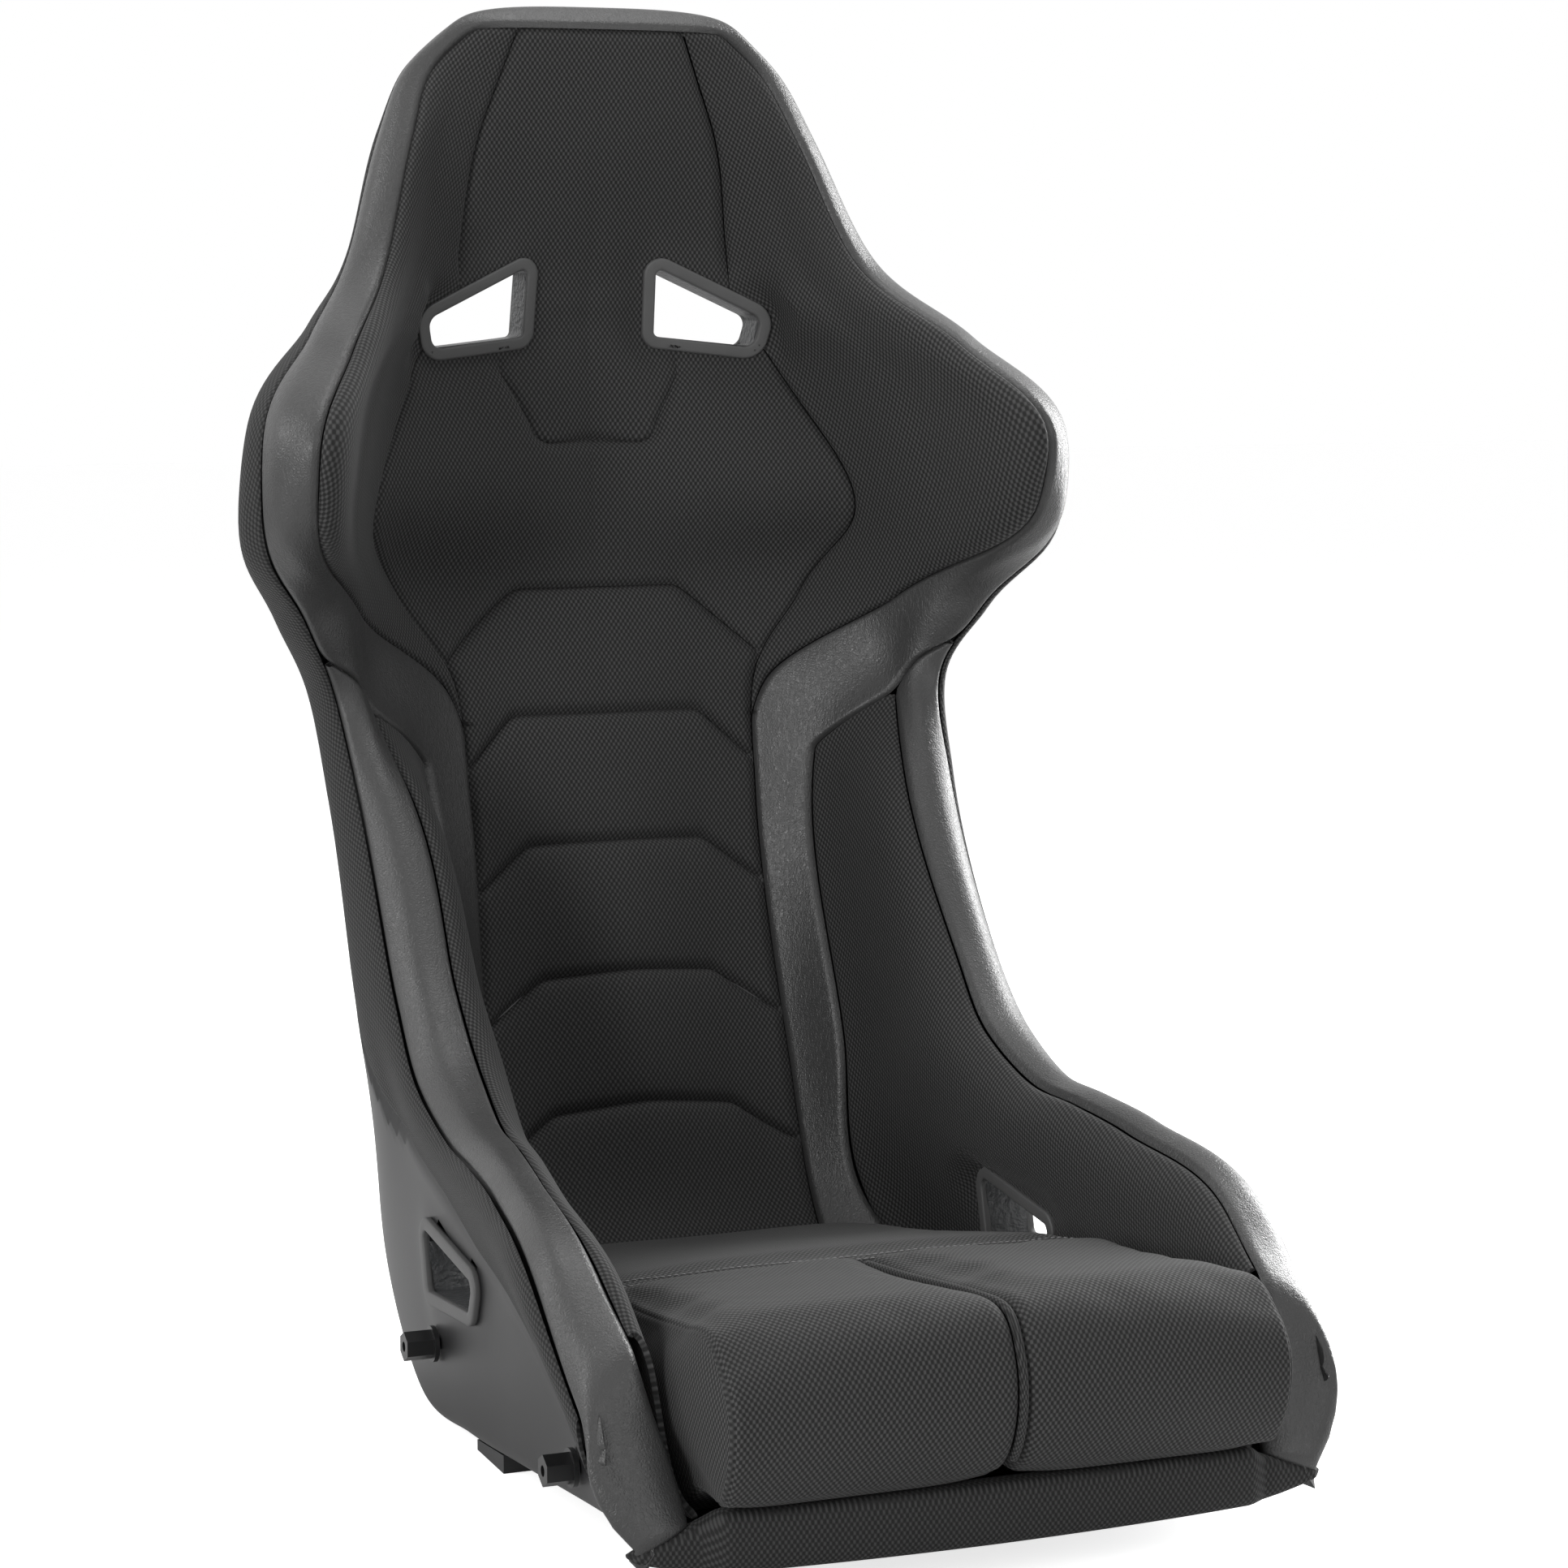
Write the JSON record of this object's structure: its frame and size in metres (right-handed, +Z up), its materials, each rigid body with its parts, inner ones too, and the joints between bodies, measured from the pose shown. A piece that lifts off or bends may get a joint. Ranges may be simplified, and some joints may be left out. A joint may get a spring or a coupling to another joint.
{
  "type": "racing bucket seat",
  "caption": "Fixed-back bucket seat with a moulded shell, padded wings and bolsters, harness slots, threaded side mounts and a lift-out split seat cushion.",
  "frame": {"origin": "the middle of the bottom of the seat's bounding box, where it stands", "axes": "X runs to the sitter's left, Y to the seat's rear, Z up"},
  "size_m": [0.5994, 0.792, 0.945],
  "materials": {
    "shell_black": "satin moulded composite",
    "seat_fabric": "dimpled mesh weave",
    "wrap_fabric": "coarse ribbed weave",
    "edge_vinyl": "fine grained vinyl",
    "bezel_plastic": "grained moulding",
    "sleeve_plastic": "rough moulding",
    "black_steel": "black oxide"
  },
  "bodies": {
    "seat": {"moulded_shell": "shell_black", "head_panel": "seat_fabric", "side_panel_left": "seat_fabric", "side_panel_right": "seat_fabric", "upper_back_panel": "seat_fabric", "back_band_1": "seat_fabric", "back_band_2": "seat_fabric", "back_band_3": "seat_fabric", "back_band_4": "seat_fabric", "back_band_5": "seat_fabric", "edging_upper_left": "edge_vinyl", "edging_upper_right": "edge_vinyl", "edging_head": "edge_vinyl", "hip_panel_left": "seat_fabric", "hip_panel_right": "seat_fabric", "hip_edging_left": "edge_vinyl", "hip_edging_right": "edge_vinyl", "end_cap_left": "edge_vinyl", "end_cap_right": "edge_vinyl", "outer_wrap_left": "wrap_fabric", "outer_wrap_right": "wrap_fabric", "front_lip": "wrap_fabric", "shoulder_bezels_front": "bezel_plastic", "shoulder_bezels_rear": "bezel_plastic", "shoulder_sleeves": "sleeve_plastic", "lap_bezels_inner": "bezel_plastic", "lap_bezels_outer": "bezel_plastic", "lap_sleeves": "sleeve_plastic", "side_bosses": "black_steel", "boss_plates": "black_steel", "crossmember": "black_steel"},
    "cushion": {"cushion_thigh_left": "seat_fabric", "cushion_thigh_right": "seat_fabric", "cushion_rear_pad": "seat_fabric", "cushion_piping": "seat_fabric"}
  },
  "joints": [
    {"name": "cushion_lift", "type": "slide", "parent": "seat", "child": "cushion", "axis": [0, -0.5, 0.866], "range_m": [0, 0.25]}
  ]
}
